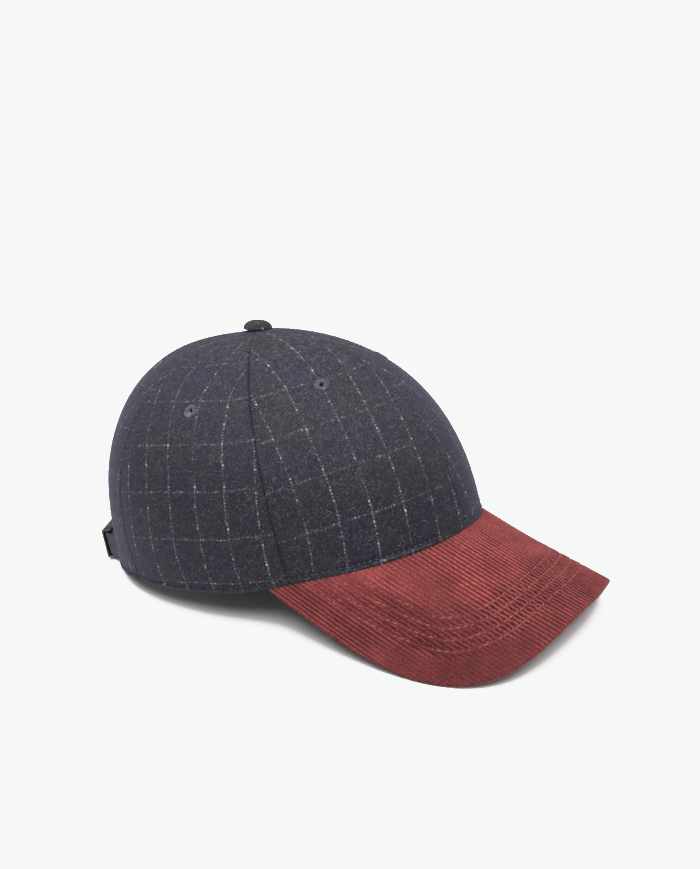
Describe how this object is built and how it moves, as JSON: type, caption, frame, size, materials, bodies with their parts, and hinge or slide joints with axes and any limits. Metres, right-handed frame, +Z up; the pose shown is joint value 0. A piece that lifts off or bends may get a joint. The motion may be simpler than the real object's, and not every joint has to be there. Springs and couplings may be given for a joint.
{
  "type": "baseball cap",
  "caption": "Soft checked wool cap with sewn wedge panels, covered top button, curved corduroy peak, arched back opening and a buckled strap.",
  "frame": {"origin": "middle of the bounding box at the level of the table that the cap rests on", "axes": "-Y towards the tip of the peak, -X the wearer's right, +Z up; the cap leans back 11.3 degrees, as it lies by itself on the two corners of its peak and its buckle"},
  "size_m": [0.1658, 0.2908, 0.1442],
  "materials": {
    "crown_wool": "brushed wool, navy and charcoal check with pale grey dotted lines",
    "button_wool": "brushed charcoal wool",
    "strap_wool": "brushed wool, navy and charcoal",
    "tab_wool": "brushed wool, slate blue",
    "corduroy": "brick red corduroy, ribs running front to back",
    "thread": "satin-stitched slate blue thread",
    "buckle_metal": "dark antiqued"
  },
  "bodies": {
    "root": {"front_panel_right": "crown_wool", "side_panel_right": "crown_wool", "back_panel_right": "crown_wool", "front_panel_left": "crown_wool", "side_panel_left": "crown_wool", "back_panel_left": "crown_wool", "peak": "corduroy", "button": "button_wool", "eyelet_front_right": "thread", "eyelet_side_right": "thread", "eyelet_back_right": "thread", "eyelet_front_left": "thread", "eyelet_side_left": "thread", "eyelet_back_left": "thread", "strap": "strap_wool", "strap_tab": "tab_wool", "buckle": "buckle_metal"}
  },
  "joints": []
}
